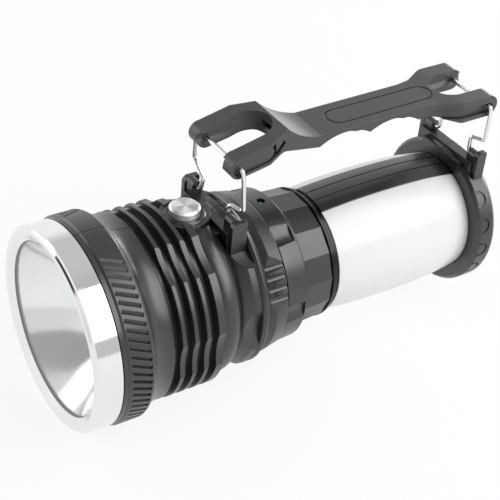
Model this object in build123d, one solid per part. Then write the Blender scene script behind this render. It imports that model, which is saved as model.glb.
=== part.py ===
from build123d import *
import math
import os

# Hand-held LED searchlight with a side lantern and a forked carry handle on two wire bails.
# Millimetres. The optical axis lies along X, the lens looks to -X, the handle is up (+Z).
# Every station below is measured along the axis from the front of the bezel, every radius
# from the axis. place() then puts the origin under the middle of the light, on the floor.

# Driving lengths along the axis
bezel_length = 14.0
grip_length = 16.5
cone_length = 13.55
fin_block_length = 28.65
neck_length = 14.1
collar_length = 15.0
ring_length = 27.7
sleeve_length = 16.9
flange_length = 6.1
lantern_length = 89.0
tail_length = 16.0

# Driving radii
grip_radius = 55.0
bezel_inset = 1.0
fin_inset = 4.7
neck_front_inset = 5.3
neck_rear_radius = 41.8
collar_radius = 47.0
rear_bore_radius = 32.8
sleeve_wall = 3.6
lantern_end_radius = 34.6
lantern_mid_radius = 37.0

# Walls, fits and small edges shared by the pieces
wall = 2.4
seat_gap = 0.1
running_gap = 0.06
edge_break = 0.6
overrun = 2.0

# Stations along the axis
grip_front = bezel_length
cone_front = grip_front + grip_length
fins_front = cone_front + cone_length
neck_front = fins_front + fin_block_length
collar_front = neck_front + neck_length
ring_front = collar_front + collar_length
sleeve_front = ring_front + ring_length
flange_front = sleeve_front + sleeve_length
lantern_front = flange_front + flange_length
tail_front = lantern_front + lantern_length
overall_length = tail_front + tail_length

# Radii that follow the two largest ones
bezel_radius = grip_radius - bezel_inset
fin_radius = grip_radius - fin_inset
neck_front_radius = fin_radius - neck_front_inset

# Radii that follow the bore behind the collar
sleeve_radius = rear_bore_radius + sleeve_wall
flange_radius = sleeve_radius

# Bezel, lens and optics
bezel_face_inset = 1.0
bezel_face_drop = 0.9
bezel_lip_inset = 4.6
lens_opening_inset = 8.0
lens_thickness = 2.6
lens_recess = 2.4
lens_inset = 4.4
gasket_thickness = 1.4
gasket_inset = 0.6
spigot_inset = 3.4
reflector_mouth_inset = 0.4
reflector_base_radius = 9.0
reflector_depth = 36.0
reflector_wall = 1.4
bezel_face_radius = bezel_radius - bezel_face_inset
bezel_lip_radius = bezel_radius - bezel_lip_inset
lens_opening_radius = bezel_radius - lens_opening_inset
lens_radius = bezel_radius - lens_inset
gasket_inner_radius = lens_opening_radius + gasket_inset
spigot_radius = grip_radius - spigot_inset
reflector_mouth_radius = lens_opening_radius - reflector_mouth_inset
reflector_flange_radius = lens_radius
reflector_steps = 12
led_board_radius = 14.0
led_board_thickness = 1.6
led_base_size = 7.0
led_base_thickness = 0.7
led_dome_radius = 2.9
heat_sink_gap = 8.4
heat_sink_plate = 4.0
heat_sink_fin_length = 12.0
heat_sink_fin_inset = 8.0
heat_sink_fin_edge = 6.2
heat_sink_fin = 2.0
heat_sink_fin_count = 7
sink_seat_inset = 4.0
sink_seat_thickness = 2.4

# Housing shell: grip band, cone, cooling fins, neck and collar
grip_foot_drop = 1.0
grip_step_length = 2.4
grip_step_drop = 0.9
grip_rear_round = 1.2
grip_rear_drop = 0.7
grip_wall = 1.6
fin_wall = 7.9
rear_inner_radius = 37.6
cone_middle_share = 0.44
cone_middle_drop = 4.5
cone_rear_drop = 0.3
groove_pitch = 6.85
groove_mouth = 4.05
groove_depth = 5.3
groove_count = 4
fin_edge_length = 0.8
fin_edge_drop = 0.6
scoop_angles = (32.6, 92.4, 152.2)
fin_scoop_radius = 35.6
fin_scoop_depth = 2.6
collar_scoop_depth = 4.4
rib_count = 30
rib_pitch_angle = 4.7
rib_first_angle = 20.5
rib_slant_angle = 5.4
rib_width = 1.9
rib_depth = 0.55
rib_tilt_angle = 24.0
rib_front_inset = 3.5
rib_rear_inset = 1.5
collar_crest_front = 5.4
collar_crest_rear = 8.6
collar_crest_drop = 0.5
collar_valley_drop = 1.2
collar_valley = 10.4
collar_ridge_front = 11.8
collar_ridge_rear = 12.4
collar_rear_drop = 2.1
neck_bulge_share = 0.48
neck_bulge_rise = 3.6

# Button and its boss
button_station = 75.0
button_radius = 8.0
button_rise = 2.7
button_height = 6.6
button_travel = 1.2
button_edge = 1.0
button_ring_radius = 10.8
button_ring_inset = 1.3
button_ring_height = 5.4
button_boss_radius = 13.0
button_boss_inset = 1.9
button_guide_gap = 0.3
button_flange_radius = 9.2
button_flange_thickness = 1.0
button_stem_radius = 2.4
switch_size = 6.2
switch_height = 3.4
switch_board_length = 20.0
switch_board_width = 22.0
switch_rail_width = 2.4
switch_rail_height = 6.9
switch_board_gap = 1.0953
board_thickness = 1.6

# Bail wire, ears and pivots; wire bends are (along, up) from the bail's own pin
wire_radius = 1.2
bail_rise = 31.2
bail_lean = 1.4
front_pin_inset = 4.6
front_pin_rise = 3.0
rear_pin_inset = 7.1
rear_pin_fall = 3.9
leg_gap = 2.0
drop_half_width = 14.0
front_leg_bends = ((0.6, 7.2), (4.0, 6.4), (2.7, 24.0))
rear_leg_bends = ((-0.4, 9.4), (2.3, 10.4), (2.0, 27.0))
far_leg_bends = ((1.3, 6.4), (1.2, 13.8))
far_drop_half_width = 12.4
wire_bend = 1.9
pin_reach = 6.4
lug_inner = 15.8
lug_outer = 22.0
lug_radius = 2.9
ear_outer = 25.2
ear_front = 3.6
ear_rear = 5.2
ear_top = 2.1
ear_foot = 20.0
ear_round = 3.2
rear_ear_front = 3.0
rear_ear_rear = 2.9
rear_ear_top = 4.3
saddle_front = 4.6
saddle_rear = 4.8
saddle_top = 4.6
rear_saddle_rear = 1.6
rear_saddle_top = 2.5
saddle_step = 3.2
saddle_step_drop = 2.6

# Handle: every pair is (along, up) from the front or the rear rod
handle_half_width = 20.1
nose_radius = 5.7
taper_corner = (17.4, 9.7)
crest = (29.6, 12.0)
facet_middle = (38.7, 5.4)
waist_start = (53.0, 0.5)
heel = (16.2, -2.6)
hump = (27.2, -0.4)
tip_radius = 6.1
tip_drop = 0.2
flare_end = (-17.8, 5.9)
flare_start = (-29.6, 5.3)
rear_heel = (-17.0, -6.4)
rear_hump = (-27.5, -3.8)
waist_end_station = 38.0
crest_half_width = 14.9
grip_half_width = 12.5
flare_half_width = 13.8
fork_slot_half = 11.4
fork_slot_depth = 28.2
rear_slot_half = 11.0
rear_slot_depth = 24.0
slot_groove_depth = 1.6
slot_groove_over = 3.2
slot_groove_under = 0.6
slot_groove_ramp = 2.6
slot_pocket_half = 4.4
slot_pocket_low = 3.0
slot_pocket_high = 7.4
slot_pocket_depth = 3.6
waist_thickness = 6.6
keel_thickness = 7.2
keel_half_width = 7.0
keel_front = 46.0
keel_rear = 36.0
keel_slope = 10.0
keel_hollow = 1.9
finger_radius = 30.0
finger_depth = 5.0
finger_first = 69.0
finger_pitch = 30.5
finger_count = 2
handle_round = 9.0
side_recess_depth = 1.1
side_recess_rim = 1.6
side_recess_end = (20.6, 8.2)
side_recess_heel = (21.8, 0.6)
side_recess_foot = (16.2, -1.0)
taper_pocket = ((20.1, 2.6), (27.4, 6.6), (29.0, 4.6), (23.3, 0.2))
taper_pocket_depth = 3.2
rear_channel_front = 35.4
rear_channel_drop = 1.2
rear_channel_height = 5.6
rear_channel_depth = 1.6
oval_line_width = 0.9
oval_line_depth = 0.5
oval_front = 64.4
oval_rear = 25.4
oval_width = 13.8
rod_hole_radius = wire_radius + running_gap

# Indicator ring, sleeve and flange
ring_lip_length = 5.0
ring_band_wall = 11.6
ring_front_drop = 3.2
ring_rear_drop = 2.8
ring_step_station = 12.5
ring_step_depth = 1.2
ring_step_length = 0.8
ring_step_drop = 1.5
ring_band_front_drop = 2.1
ring_tail_length = 2.3
ring_tail_wall = 5.4
scoop_radius = 12.0
scoop_depth = 2.0
scoop_front = 13.3
scoop_length = 10.8
tooth_first_angle = 52.4
tooth_pitch_angle = 7.6
tooth_groove_count = 4
tooth_groove_radius = 2.0
tooth_groove_depth = 2.2
tooth_facet_angle = 64.0
tooth_facet_drop = 2.7
tooth_span_angle = 11.4
tooth_line_width = 0.7
tooth_line_depth = 0.5
indicator_station = 19.2
indicator_hole_radius = 2.4
indicator_lens_radius = 1.5
indicator_sink = 1.0
sleeve_sides = 16
sleeve_front_rise = 1.0
flange_groove = 0.9
flange_groove_depth = 1.0
flange_lip = 1.3
flange_neck_drop = 2.3

# Lantern
lantern_rear_radius = 33.6
lantern_wall = 2.0
lantern_station_shares = (0.0, 0.25, 0.52, 0.8, 0.94, 1.0)
lantern_bulge_shares = (0.0, 0.72, 1.0, 0.78, 0.3, 0.0)
spine_half_width = 12.0
spine_proud = 0.4
spine_line = 3.4
spine_line_width = 0.8
spine_line_depth = 0.7
core_apothem = 24.0
core_wall = 2.0
core_sides = 6
core_flange_gap = 3.7
core_flange_thickness = 2.0
side_board_width = 16.0
side_board_count = 5
side_led_count = 8
side_led_size = 3.4
side_led_height = 0.9
board_end_gap = 5.3

# Tail cap
tail_face_chamfer = 1.8
tail_band_rear = 10.1
tail_pin_drop = 3.8
tail_end_drop = 10.3
tail_shoulder_drop = 2.7
tail_shoulder_rear = 13.6
tail_wall = 2.6
tail_front_bore = 30.0
notch_first_angle = 52.0
notch_pitch_angle = 20.6
notch_count = 5
notch_width = 9.4
notch_length = 6.0
notch_depth = 0.6
end_plate_inset = 4.0
end_plate_thickness = 2.2
end_plate_sink = 0.5
end_wall_bore = 12.0
inlet_radius = 5.5
inlet_bore_radius = 3.0
inlet_bore_depth = 8.0
inlet_pin_radius = 0.9
inlet_length = 10.0
inlet_flange_radius = 7.0
inlet_flange_thickness = 1.0

# Fasteners
screw_head_radius = 2.6
screw_head_height = 1.2
screw_shank_radius = 1.3
screw_length = 12.0
tail_screw_length = 6.0
screw_drive_width = 0.7
screw_drive_length = 3.2
screw_drive_depth = 0.7
screw_boss_radius = 3.6
screw_well_floor = 8.0
housing_screw_places = ((36.0, 33.0), (36.0, -33.0), (94.0, 27.0), (94.0, -27.0))
tail_screw_inset = 7.0
tail_screw_count = 4

# Batteries
cell_radius = 9.1
cell_length = 64.0
cell_offset = 9.8
cell_tip_radius = 3.0
cell_tip_height = 1.0
holder_front = 64.0
holder_plate = 3.0
holder_pocket = 1.0
holder_post = 2.2
holder_rim = 1.0
board_gap = 0.3
chip_length = 9.0
chip_width = 7.0
chip_height = 1.6
chip_angles = (0.0, 120.0, 240.0)


def place(shape):
    """Move a shape from the axis frame to the part's own frame."""
    return Pos(-overall_length / 2, 0, foot_height) * shape


def save(shape, name):
    """Write one named sub-part in the part's own frame."""
    os.makedirs("parts", exist_ok=True)
    export_step(place(shape), f"parts/{name}.step")


def turned(points):
    """Solid of revolution about the optical axis from (station, radius) points."""
    face = make_face(Polyline(*points, close=True))
    return revolve(Plane.XZ * face, Axis.X)


def rod(radius, start, length):
    """Round bar along +X from a station."""
    bar = Cylinder(radius, length, align=(Align.CENTER, Align.CENTER, Align.MIN))
    return Pos(start, 0, 0) * Rot(0, 90, 0) * bar


def around(angle, shape):
    """Turn a shape about the axis; positive angles go from the top towards -Y."""
    return Rot(angle, 0, 0) * shape


def block(x_low, x_high, y_low, y_high, z_low, z_high):
    """Box between two corners."""
    box = Box(x_high - x_low, y_high - y_low, z_high - z_low)
    middle = Pos((x_low + x_high) / 2, (y_low + y_high) / 2, (z_low + z_high) / 2)
    return middle * box


def prism(points, y_low, y_high):
    """Outline in X and Z, made solid between two Y planes."""
    face = Plane.XZ * make_face(Polyline(*points, close=True))
    solid = extrude(face, amount=y_high - y_low)
    return Pos(0, y_high, 0) * solid


def turned_face(*edges):
    """Solid of revolution about the optical axis from a closed chain of edges."""
    return revolve(Plane.XZ * make_face(edges), Axis.X)


def pin_y(radius, station, height, y_low, y_high):
    """Round bar along Y at a station and height."""
    bar = Cylinder(radius, y_high - y_low, align=(Align.CENTER, Align.CENTER, Align.MIN))
    return Pos(station, y_high, height) * Rot(90, 0, 0) * bar


def post_z(radius, station, z_low, z_high):
    """Round bar along Z on the middle plane."""
    bar = Cylinder(radius, z_high - z_low, align=(Align.CENTER, Align.CENTER, Align.MIN))
    return Pos(station, 0, z_low) * bar


def half(shape, side):
    """Keep the part of a shape on one side of the middle plane; side is 1 for +Y."""
    reach = overall_length * 2
    keep = Box(reach * 2, reach, reach * 2)
    return shape & (Pos(0, side * reach / 2, 0) * keep)


# Places that several pieces share
foot_height = grip_radius - grip_foot_drop
grip_inner_radius = spigot_radius - grip_wall
fin_inner_radius = fin_radius - fin_wall
heat_sink_radius = fin_inner_radius - heat_sink_gap
heat_sink_fin_radius = heat_sink_radius - heat_sink_fin_inset
heat_sink_fin_span = (heat_sink_fin_radius - heat_sink_fin_edge) * 2
heat_sink_fin_pitch = heat_sink_fin_span / (heat_sink_fin_count - 1)
sink_seat_radius = heat_sink_radius - sink_seat_inset
button_top = fin_radius + button_rise
button_ring_top = fin_radius - button_ring_inset
button_boss_top = fin_radius - button_boss_inset
board_radius = rear_bore_radius - board_gap
switch_board_back = button_station + switch_board_length / 2
roof_share = max(0, (switch_board_back - neck_front) / neck_length)
roof_radius = fin_inner_radius + (rear_inner_radius - fin_inner_radius) * roof_share
roof_height = math.sqrt(roof_radius ** 2 - (switch_board_width / 2) ** 2)
switch_board_top = roof_height - switch_board_gap
button_stem_end = switch_board_top + switch_height + seat_gap + button_travel
front_pin_station = collar_front + front_pin_inset
rear_pin_station = tail_front + rear_pin_inset
front_pin_height = collar_radius + front_pin_rise
rear_pin_height = front_pin_height - rear_pin_fall
leg_half_width = handle_half_width + leg_gap
tail_radius = rear_pin_height - tail_pin_drop
tail_end_radius = tail_radius - tail_end_drop
end_plate_radius = tail_end_radius - end_plate_inset
tail_screw_circle = end_plate_radius - tail_screw_inset
core_flange_radius = tail_radius - tail_wall - core_flange_gap
ring_band_radius = rear_bore_radius + ring_band_wall
ring_front_radius = ring_band_radius - ring_front_drop
ring_rear_radius = ring_band_radius - ring_rear_drop
ring_step_radius = ring_band_radius - ring_step_drop
ring_band_front_radius = ring_band_radius - ring_band_front_drop
ring_tail_radius = rear_bore_radius + ring_tail_wall
side_led_pitch = (lantern_length - board_end_gap * 2) / side_led_count
lens_back = lens_recess + lens_thickness
reflector_mouth = lens_back + gasket_thickness
reflector_back = reflector_mouth + reflector_depth
spigot_front = reflector_mouth + reflector_wall
sink_front = reflector_back + led_board_thickness
sink_plate_back = sink_front + heat_sink_plate
cells_front = holder_front + holder_plate - holder_pocket
cells_back = cells_front + cell_length + cell_tip_height
holder_back = cells_back + holder_plate - holder_pocket
core_back = tail_front + tail_wall
end_wall_front = overall_length - end_plate_sink - end_plate_thickness - tail_wall
end_plate_front = end_wall_front + tail_wall
end_plate_back = end_plate_front + end_plate_thickness
rear_rod_station = rear_pin_station + bail_lean
front_rod_station = front_pin_station + bail_lean
front_rod_height = front_pin_height + bail_rise
rear_rod_height = rear_pin_height + bail_rise


# Front end: bezel, lens, gasket, reflector and light source

def bezel_ring():
    thread_radius = spigot_radius + seat_gap
    pocket_radius = lens_radius + seat_gap
    return turned([
        (lens_recess, lens_opening_radius),
        (0, bezel_lip_radius),
        (0, bezel_face_radius - bezel_face_drop),
        (bezel_face_drop, bezel_face_radius),
        (bezel_face_drop + edge_break, bezel_radius),
        (grip_front - edge_break, bezel_radius),
        (grip_front, bezel_radius - edge_break),
        (grip_front, thread_radius),
        (spigot_front, thread_radius),
        (spigot_front, pocket_radius),
        (lens_recess, pocket_radius),
    ])


def front_lens():
    return rod(lens_radius, lens_recess, lens_thickness)


def lens_gasket():
    return rod(lens_radius, lens_back, gasket_thickness) - rod(
        gasket_inner_radius, lens_back - overrun, gasket_thickness + overrun * 2)


def bowl_radius(depth):
    """Inner radius of the reflector at a depth behind its mouth, a parabola."""
    mouth_square = reflector_mouth_radius ** 2
    base_square = reflector_base_radius ** 2
    return math.sqrt(base_square + (mouth_square - base_square) * (1 - depth / reflector_depth))


def bowl_curve(offset, first_depth):
    """Meridian of the bowl from a depth to its base, pushed out by an offset."""
    span = reflector_depth - first_depth
    depths = [first_depth + span * (1 - (1 - i / reflector_steps) ** 2)
              for i in range(reflector_steps + 1)]
    return Spline(*[(reflector_mouth + depth, bowl_radius(depth) + offset) for depth in depths])


def reflector():
    inner = bowl_curve(0, 0)
    outer = bowl_curve(reflector_wall, reflector_wall)
    rim = Polyline(outer @ 0, (spigot_front, reflector_flange_radius),
                   (reflector_mouth, reflector_flange_radius), inner @ 0)
    floor = Line(inner @ 1, outer @ 1)
    return turned_face(inner, floor, outer, rim)


def led_emitter():
    base = block(reflector_back - led_base_thickness, reflector_back,
                 -led_base_size / 2, led_base_size / 2, -led_base_size / 2, led_base_size / 2)
    face = reflector_back - led_base_thickness
    dome = Pos(face, 0, 0) * Sphere(led_dome_radius)
    dome = dome & rod(led_dome_radius * 2, face - led_dome_radius, led_dome_radius)
    return base + dome


def led_board():
    return rod(led_board_radius, reflector_back, led_board_thickness)


def heat_sink():
    plate = rod(heat_sink_radius, sink_front, heat_sink_plate)
    limit = rod(heat_sink_fin_radius, sink_plate_back, heat_sink_fin_length)
    middle = (heat_sink_fin_count - 1) / 2
    for i in range(heat_sink_fin_count):
        y = (i - middle) * heat_sink_fin_pitch
        fin = block(sink_plate_back, sink_plate_back + heat_sink_fin_length,
                    y - heat_sink_fin / 2, y + heat_sink_fin / 2,
                    -heat_sink_fin_radius, heat_sink_fin_radius)
        plate = plate + (fin & limit)
    return plate


# Housing: two halves of one shell, split on the middle plane

def grip_and_cone():
    """Grip band with the hollow cone behind it, up to the first groove."""
    step_radius = grip_radius - grip_step_drop
    edge = (cone_front, grip_radius - grip_rear_drop)
    middle = (cone_front + cone_length * cone_middle_share, grip_radius - cone_middle_drop)
    end = (fins_front - fin_edge_length, fin_radius - cone_rear_drop)
    hollow = ThreePointArc(edge, middle, end)
    front = Polyline(
        (fins_front, fin_radius - cone_rear_drop - fin_edge_drop),
        (fins_front, 0),
        (spigot_front, 0),
        (spigot_front, spigot_radius),
        (grip_front, spigot_radius),
        (grip_front, step_radius),
        (grip_front + grip_step_length, step_radius),
        (grip_front + grip_step_length + grip_step_drop, grip_radius),
        (cone_front - grip_rear_round, grip_radius),
        edge)
    return turned_face(hollow, Line(end, front @ 0), front)


def fins():
    """Cooling fins with square grooves between them, each fin broken at its rear edge."""
    floor = fin_radius - groove_depth
    points = [(fins_front, 0), (fins_front, floor)]
    for i in range(groove_count):
        start = fins_front + groove_mouth + i * groove_pitch
        end = start + groove_pitch - groove_mouth
        points += [(start, floor), (start, fin_radius)]
        if i < groove_count - 1:
            points += [(end - fin_edge_length, fin_radius), (end, fin_radius - fin_edge_drop),
                       (end, floor)]
    points += [(neck_front, fin_radius), (neck_front, 0)]
    return turned(points)


def neck():
    middle = (neck_front + neck_length * neck_bulge_share,
              (neck_front_radius + neck_rear_radius) / 2 + neck_bulge_rise)
    bulge = ThreePointArc((neck_front, neck_front_radius), middle,
                          (collar_front, neck_rear_radius))
    back = Polyline((collar_front, neck_rear_radius), (collar_front, 0), (neck_front, 0),
                    (neck_front, neck_front_radius))
    return turned_face(bulge, back)


def collar():
    crest = collar_radius - collar_crest_drop
    return turned([
        (collar_front, 0),
        (collar_front, neck_rear_radius),
        (collar_front + collar_crest_front, crest),
        (collar_front + collar_crest_rear, collar_radius),
        (collar_front + collar_valley, collar_radius - collar_valley_drop),
        (collar_front + collar_ridge_front, collar_radius),
        (collar_front + collar_ridge_rear, collar_radius),
        (ring_front, collar_radius - collar_rear_drop),
        (ring_front, 0),
    ])


def long_scoop(angle, floor, start, end):
    """Cutter for one shallow scoop along the axis, at an angle and a floor radius."""
    cut = Pos(0, 0, floor + fin_scoop_radius) * rod(fin_scoop_radius, start, end - start)
    return around(angle, cut)


def grip_groove(angle, side):
    """Cutter for one slanted groove between two grip ribs."""
    front = grip_front + rib_front_inset
    length = grip_length - rib_front_inset - rib_rear_inset
    slant = math.degrees(math.atan(grip_radius * math.radians(rib_slant_angle) / length))
    cut = Rot(rib_tilt_angle * side, 0, 0) * Box(length, rib_width, rib_depth * 2)
    cut = Pos(front + length / 2, 0, grip_radius) * Rot(0, 0, -slant * side) * cut
    return around((angle + rib_slant_angle / 2) * side, cut)


def ear(side, pin_station, pin_height, front, rear, rise):
    """One outer plate with its inner pivot lug, on the side given by 1 for +Y."""
    top = pin_height + rise
    foot = pin_height - ear_foot
    outline = make_face(Polyline(
        (pin_station - front, foot),
        (pin_station - front, top),
        (pin_station + rear, top),
        (pin_station + rear, foot), close=True))
    corners = outline.vertices().group_by(Axis.Y)[-1].sort_by(Axis.X)
    outline = fillet(corners[0], min(ear_round, front - edge_break / 2))
    corners = outline.vertices().group_by(Axis.Y)[-1].sort_by(Axis.X)
    outline = fillet(corners[-1], edge_break)
    plate = Pos(0, ear_outer, 0) * extrude(Plane.XZ * outline, amount=ear_outer - lug_outer)
    lug = pin_y(lug_radius, pin_station, pin_height, lug_inner, lug_outer)
    lug = lug + block(pin_station - lug_radius, pin_station + lug_radius,
                      lug_inner, lug_outer, foot, pin_height)
    whole = plate + lug
    return whole if side > 0 else mirror(whole, Plane.XZ)


def saddle(pin_station, pin_height, rear, drop):
    """Bar that joins the two ears over the body, with a lower step in front."""
    top = pin_height - drop
    floor = pin_height - ear_foot
    bar = block(pin_station - saddle_front, pin_station + rear,
                -lug_outer, lug_outer, floor, top)
    step = block(pin_station - saddle_front - saddle_step, pin_station - saddle_front,
                 -lug_inner, lug_inner, floor, top - saddle_step_drop)
    return bar + step


def pivot_holes(pin_station, pin_height):
    """Blind holes that the bail's turned-in ends sit in."""
    bottom = drop_half_width + pin_reach + button_guide_gap
    hole = pin_y(wire_radius + running_gap, pin_station, pin_height, lug_inner - overrun, bottom)
    return hole + mirror(hole, Plane.XZ)


def housing_cavity():
    return turned([
        (spigot_front - overrun, 0),
        (spigot_front - overrun, grip_inner_radius),
        (cone_front, grip_inner_radius),
        (fins_front, fin_inner_radius),
        (neck_front, fin_inner_radius),
        (collar_front, rear_inner_radius),
        (ring_front + overrun, rear_inner_radius),
        (ring_front + overrun, 0),
    ])


def sink_seat():
    """Inner rim of the shell that the heat sink's plate rests against."""
    ring = rod(fin_inner_radius + seat_gap, sink_plate_back, sink_seat_thickness)
    return ring - rod(sink_seat_radius, sink_plate_back - overrun,
                      sink_seat_thickness + overrun * 2)


def switch_rails():
    """Two rails under the roof of the shell that carry the switch board."""
    front = button_station - switch_board_length / 2
    back = button_station + switch_board_length / 2
    inner = switch_board_width / 2 - switch_rail_width
    rail = block(front, back, inner, switch_board_width / 2, switch_board_top,
                 switch_board_top + switch_rail_height)
    return rail + mirror(rail, Plane.XZ)


def screw_cut(station, height):
    """Bore for one housing screw, with the well that its head goes down."""
    reach = grip_radius + overrun
    shank = pin_y(screw_shank_radius + seat_gap, station, height,
                  screw_well_floor - screw_length - seat_gap, screw_well_floor)
    well = pin_y(screw_head_radius + seat_gap * 2, station, height, screw_well_floor, reach)
    return shank + well


def screw_bosses():
    """Pillars across both halves, one for each housing screw."""
    return [pin_y(screw_boss_radius, station, height, -grip_radius, grip_radius)
            for station, height in housing_screw_places]


def housing():
    ribbed = fins()
    rear = collar()
    fin_floor = fin_radius - fin_scoop_depth
    collar_floor = collar_radius - collar_scoop_depth
    for angle in scoop_angles:
        for turn in (angle, -angle):
            ribbed = ribbed - long_scoop(turn, fin_floor, fins_front, neck_front)
            rear = rear - long_scoop(turn, collar_floor, collar_front,
                                     collar_front + collar_valley)
    skin = grip_and_cone() + ribbed + neck() + rear
    skin = skin + post_z(button_boss_radius, button_station, 0, button_boss_top)
    skin = skin - block(grip_front, cone_front + cone_length, -grip_radius, grip_radius,
                        -grip_radius - overrun, -foot_height)
    solid = skin + saddle(front_pin_station, front_pin_height, saddle_rear, saddle_top)
    for side in (1, -1):
        solid = solid + ear(side, front_pin_station, front_pin_height, ear_front, ear_rear,
                            ear_top)
    shell = solid - housing_cavity()
    shell = shell + sink_seat() + (switch_rails() & skin)
    for boss in screw_bosses():
        shell = shell + (boss & skin)
    shell = shell - pivot_holes(front_pin_station, front_pin_height)
    pocket_floor = button_ring_top - button_ring_height
    shell = shell - post_z(button_ring_radius + seat_gap, button_station, pocket_floor,
                           grip_radius)
    shell = shell - post_z(button_stem_radius + button_guide_gap, button_station,
                           button_stem_end, pocket_floor + overrun)
    for station, height in housing_screw_places:
        shell = shell - screw_cut(station, height)
    for i in range(rib_count):
        angle = rib_first_angle + i * rib_pitch_angle
        shell = shell - grip_groove(angle, 1) - grip_groove(angle, -1)
    return shell


def screw(length):
    """Screw along -Y with the underside of its head at the origin and a cross drive."""
    head = pin_y(screw_head_radius, 0, 0, 0, screw_head_height)
    shank = pin_y(screw_shank_radius, 0, 0, -length, 0)
    floor = screw_head_height - screw_drive_depth
    slot = block(-screw_drive_length / 2, screw_drive_length / 2, floor,
                 screw_head_height + overrun, -screw_drive_width / 2, screw_drive_width / 2)
    cross = Rot(0, 90, 0) * slot
    return head + shank - slot - cross


def housing_screws():
    return Compound(children=[Pos(station, screw_well_floor, height) * screw(screw_length)
                              for station, height in housing_screw_places])


# Push button, its ring, switch and board

def button_cap():
    base = button_top - button_height
    cap = post_z(button_radius, button_station, base, button_top)
    cap = chamfer(cap.edges().group_by(Axis.Z)[-1], button_edge)
    flange = post_z(button_flange_radius, button_station, base, base + button_flange_thickness)
    stem = post_z(button_stem_radius, button_station, button_stem_end, base)
    return cap + flange + stem


def button_ring():
    floor = button_ring_top - button_ring_height
    flange_top = button_top - button_height + button_flange_thickness
    ring = post_z(button_ring_radius, button_station, floor, button_ring_top)
    ring = chamfer(ring.edges().group_by(Axis.Z)[-1], edge_break)
    ring = ring - post_z(button_radius + button_guide_gap, button_station, floor - overrun,
                         button_ring_top + overrun)
    return ring - post_z(button_flange_radius + button_guide_gap, button_station,
                         floor - overrun, flange_top + button_guide_gap)


def button_switch():
    size = switch_size / 2
    body = block(button_station - size, button_station + size, -size, size,
                 switch_board_top, switch_board_top + switch_height - edge_break)
    return body + post_z(button_stem_radius, button_station, switch_board_top,
                         switch_board_top + switch_height)


def switch_board():
    return block(button_station - switch_board_length / 2,
                 button_station + switch_board_length / 2,
                 -switch_board_width / 2, switch_board_width / 2,
                 switch_board_top - board_thickness, switch_board_top)


# Bails: bent wires that pivot in the ears and carry the handle

def bail(pin_station, pin_height, bends):
    """One wire from pivot to pivot; the near leg has a square jog, the far one a slanted jog."""
    rod_station = pin_station + bail_lean
    rod_height = pin_height + bail_rise
    end = drop_half_width + pin_reach
    widths = (drop_half_width, leg_half_width, leg_half_width)
    near = [(pin_station + along, -width, pin_height + up)
            for (along, up), width in zip(bends, widths)]
    widths = (leg_half_width, far_drop_half_width)
    far = [(pin_station + along, width, pin_height + up)
           for (along, up), width in zip(reversed(far_leg_bends), widths)]
    path = [
        (pin_station, -end, pin_height),
        (pin_station, -drop_half_width, pin_height),
        *near,
        (rod_station, -leg_half_width, rod_height),
        (rod_station, leg_half_width, rod_height),
        *far,
        (pin_station, far_drop_half_width, pin_height),
        (pin_station, end, pin_height),
    ]
    line = FilletPolyline(*path, radius=wire_bend)
    section = Plane(origin=line @ 0, z_dir=line % 0) * Circle(wire_radius)
    return sweep(section, path=line)


# Handle: two forks on a waisted bar with finger hollows underneath

def front_place(pair):
    """Station and height of a point given from the front rod."""
    return (front_rod_station + pair[0], front_rod_height + pair[1])


def rear_place(pair):
    """Station and height of a point given from the rear rod."""
    return (rear_rod_station + pair[0], rear_rod_height + pair[1])


def waist_floor():
    """Height of the waist's underside between the finger hollows."""
    return front_place(waist_start)[1] - waist_thickness


def handle_side():
    """Side outline of the handle as a solid across its full width."""
    nose = ThreePointArc(front_place((0, -nose_radius)), front_place((-nose_radius, 0)),
                         front_place((0, nose_radius)))
    prong = Polyline(nose @ 1, front_place(taper_corner), front_place(crest))
    facet = ThreePointArc(prong @ 1, front_place(facet_middle), front_place(waist_start))
    tip_top = (0, tip_radius - tip_drop)
    grip = Polyline(facet @ 1, rear_place(flare_start), rear_place(flare_end),
                    rear_place(tip_top))
    tip = ThreePointArc(grip @ 1, rear_place((tip_radius, -tip_drop)),
                        rear_place((0, -tip_radius - tip_drop)))
    waist_end = rear_rod_station - waist_end_station
    under = Polyline(tip @ 1, rear_place(rear_heel), rear_place(rear_hump),
                     (waist_end, waist_floor()),
                     (front_place(waist_start)[0], waist_floor()),
                     front_place(hump), front_place(heel), nose @ 0)
    outline = make_face([nose, prong, facet, grip, tip, under])
    limit = front_place(heel)[0]
    low = [v for v in outline.vertices()
           if limit < v.X < rear_rod_station - edge_break and v.Y < rear_rod_height + edge_break
           or limit < v.X < front_place(waist_start)[0] - edge_break and v.Y < front_rod_height]
    outline = fillet(low, handle_round)
    return extrude(Plane.XZ * outline, amount=handle_half_width, both=True)


def handle_plan(inset):
    """Plan outline of the handle as a tall solid, drawn in by an inset on its sides."""
    edge = [
        (front_rod_station - nose_radius, handle_half_width - inset),
        (front_place(taper_corner)[0], handle_half_width - inset),
        (front_place(crest)[0], crest_half_width - inset),
        (front_place(waist_start)[0], grip_half_width - inset),
        (rear_rod_station - waist_end_station, grip_half_width - inset),
        (rear_place(flare_start)[0], flare_half_width - inset),
        (rear_place(flare_end)[0], handle_half_width - inset),
        (rear_rod_station + tip_radius, handle_half_width - inset),
    ]
    other = [(x, -y) for x, y in reversed(edge)]
    outline = make_face(Polyline(*(edge + other), close=True))
    soft = [v for v in outline.vertices()
            if front_place(crest)[0] + edge_break < v.X < rear_rod_station - edge_break]
    outline = fillet(soft, handle_round)
    height = front_place(crest)[1] + overrun - front_pin_height
    return Pos(0, 0, front_pin_height) * extrude(outline, amount=height)


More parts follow.
